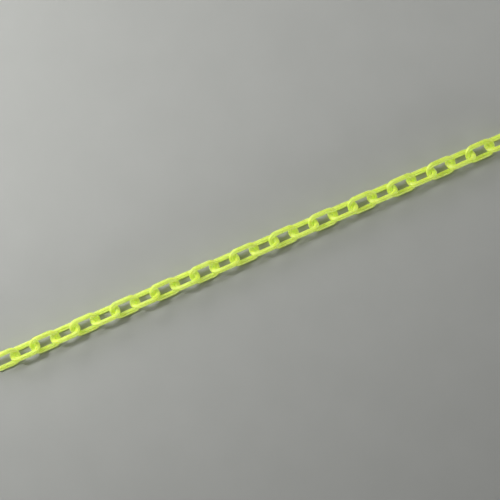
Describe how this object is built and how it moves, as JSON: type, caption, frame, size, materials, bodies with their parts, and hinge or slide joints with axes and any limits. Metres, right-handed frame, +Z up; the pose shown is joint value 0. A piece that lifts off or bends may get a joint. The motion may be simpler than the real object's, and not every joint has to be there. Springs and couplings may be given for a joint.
{
  "type": "plastic barrier chain",
  "caption": "Fluorescent yellow-green plastic barrier chain: a straight run of interlocked oval links that swing on one another, hung between posts as a barrier.",
  "frame": {"origin": "on the floor under the middle of the chain's length", "axes": "+X along the chain, from the first link to the last; +Z up from the floor that the chain lies on"},
  "size_m": [0.688, 0.0196, 0.0197],
  "materials": {
    "chain_plastic": "fluorescent yellow-green polyethylene, satin as moulded"
  },
  "bodies": {
    "link_01": {"link_01": "chain_plastic"},
    "link_02": {"link_02": "chain_plastic"},
    "link_03": {"link_03": "chain_plastic"},
    "link_04": {"link_04": "chain_plastic"},
    "link_05": {"link_05": "chain_plastic"},
    "link_06": {"link_06": "chain_plastic"},
    "link_07": {"link_07": "chain_plastic"},
    "link_08": {"link_08": "chain_plastic"},
    "link_09": {"link_09": "chain_plastic"},
    "link_10": {"link_10": "chain_plastic"},
    "link_11": {"link_11": "chain_plastic"},
    "link_12": {"link_12": "chain_plastic"},
    "link_13": {"link_13": "chain_plastic"},
    "link_14": {"link_14": "chain_plastic"},
    "link_15": {"link_15": "chain_plastic"},
    "link_16": {"link_16": "chain_plastic"},
    "link_17": {"link_17": "chain_plastic"},
    "link_18": {"link_18": "chain_plastic"},
    "link_19": {"link_19": "chain_plastic"},
    "link_20": {"link_20": "chain_plastic"},
    "link_21": {"link_21": "chain_plastic"},
    "link_22": {"link_22": "chain_plastic"},
    "link_23": {"link_23": "chain_plastic"},
    "link_24": {"link_24": "chain_plastic"},
    "link_25": {"link_25": "chain_plastic"},
    "link_26": {"link_26": "chain_plastic"}
  },
  "joints": [
    {"name": "link_02_swing", "type": "hinge", "parent": "link_01", "child": "link_02", "pos_m": [-0.30885, 0, 0.00983], "axis": [0, 0.7071, 0.7071], "range_deg": [-120, 120]},
    {"name": "link_03_swing", "type": "hinge", "parent": "link_02", "child": "link_03", "pos_m": [-0.28285, 0, 0.00983], "axis": [0, -0.7071, 0.7071], "range_deg": [-120, 120]},
    {"name": "link_04_swing", "type": "hinge", "parent": "link_03", "child": "link_04", "pos_m": [-0.25685, 0, 0.00983], "axis": [0, -0.7071, -0.7071], "range_deg": [-120, 120]},
    {"name": "link_05_swing", "type": "hinge", "parent": "link_04", "child": "link_05", "pos_m": [-0.23085, 0, 0.00983], "axis": [0, 0.7071, -0.7071], "range_deg": [-120, 120]},
    {"name": "link_06_swing", "type": "hinge", "parent": "link_05", "child": "link_06", "pos_m": [-0.20485, 0, 0.00983], "axis": [0, 0.7071, 0.7071], "range_deg": [-120, 120]},
    {"name": "link_07_swing", "type": "hinge", "parent": "link_06", "child": "link_07", "pos_m": [-0.17885, 0, 0.00983], "axis": [0, -0.7071, 0.7071], "range_deg": [-120, 120]},
    {"name": "link_08_swing", "type": "hinge", "parent": "link_07", "child": "link_08", "pos_m": [-0.15285, 0, 0.00983], "axis": [0, -0.7071, -0.7071], "range_deg": [-120, 120]},
    {"name": "link_09_swing", "type": "hinge", "parent": "link_08", "child": "link_09", "pos_m": [-0.12685, 0, 0.00983], "axis": [0, 0.7071, -0.7071], "range_deg": [-120, 120]},
    {"name": "link_10_swing", "type": "hinge", "parent": "link_09", "child": "link_10", "pos_m": [-0.10085, 0, 0.00983], "axis": [0, 0.7071, 0.7071], "range_deg": [-120, 120]},
    {"name": "link_11_swing", "type": "hinge", "parent": "link_10", "child": "link_11", "pos_m": [-0.07485, 0, 0.00983], "axis": [0, -0.7071, 0.7071], "range_deg": [-120, 120]},
    {"name": "link_12_swing", "type": "hinge", "parent": "link_11", "child": "link_12", "pos_m": [-0.04885, 0, 0.00983], "axis": [0, -0.7071, -0.7071], "range_deg": [-120, 120]},
    {"name": "link_13_swing", "type": "hinge", "parent": "link_12", "child": "link_13", "pos_m": [-0.02285, 0, 0.00983], "axis": [0, 0.7071, -0.7071], "range_deg": [-120, 120]},
    {"name": "link_14_swing", "type": "hinge", "parent": "link_13", "child": "link_14", "pos_m": [0.00315, 0, 0.00983], "axis": [0, 0.7071, 0.7071], "range_deg": [-120, 120]},
    {"name": "link_15_swing", "type": "hinge", "parent": "link_14", "child": "link_15", "pos_m": [0.02915, 0, 0.00983], "axis": [0, -0.7071, 0.7071], "range_deg": [-120, 120]},
    {"name": "link_16_swing", "type": "hinge", "parent": "link_15", "child": "link_16", "pos_m": [0.05515, 0, 0.00983], "axis": [0, -0.7071, -0.7071], "range_deg": [-120, 120]},
    {"name": "link_17_swing", "type": "hinge", "parent": "link_16", "child": "link_17", "pos_m": [0.08115, 0, 0.00983], "axis": [0, 0.7071, -0.7071], "range_deg": [-120, 120]},
    {"name": "link_18_swing", "type": "hinge", "parent": "link_17", "child": "link_18", "pos_m": [0.10715, 0, 0.00983], "axis": [0, 0.7071, 0.7071], "range_deg": [-120, 120]},
    {"name": "link_19_swing", "type": "hinge", "parent": "link_18", "child": "link_19", "pos_m": [0.13315, 0, 0.00983], "axis": [0, -0.7071, 0.7071], "range_deg": [-120, 120]},
    {"name": "link_20_swing", "type": "hinge", "parent": "link_19", "child": "link_20", "pos_m": [0.15915, 0, 0.00983], "axis": [0, -0.7071, -0.7071], "range_deg": [-120, 120]},
    {"name": "link_21_swing", "type": "hinge", "parent": "link_20", "child": "link_21", "pos_m": [0.18515, 0, 0.00983], "axis": [0, 0.7071, -0.7071], "range_deg": [-120, 120]},
    {"name": "link_22_swing", "type": "hinge", "parent": "link_21", "child": "link_22", "pos_m": [0.21115, 0, 0.00983], "axis": [0, 0.7071, 0.7071], "range_deg": [-120, 120]},
    {"name": "link_23_swing", "type": "hinge", "parent": "link_22", "child": "link_23", "pos_m": [0.23715, 0, 0.00983], "axis": [0, -0.7071, 0.7071], "range_deg": [-120, 120]},
    {"name": "link_24_swing", "type": "hinge", "parent": "link_23", "child": "link_24", "pos_m": [0.26315, 0, 0.00983], "axis": [0, -0.7071, -0.7071], "range_deg": [-120, 120]},
    {"name": "link_25_swing", "type": "hinge", "parent": "link_24", "child": "link_25", "pos_m": [0.28915, 0, 0.00983], "axis": [0, 0.7071, -0.7071], "range_deg": [-120, 120]},
    {"name": "link_26_swing", "type": "hinge", "parent": "link_25", "child": "link_26", "pos_m": [0.31515, 0, 0.00983], "axis": [0, 0.7071, 0.7071], "range_deg": [-120, 120]}
  ]
}
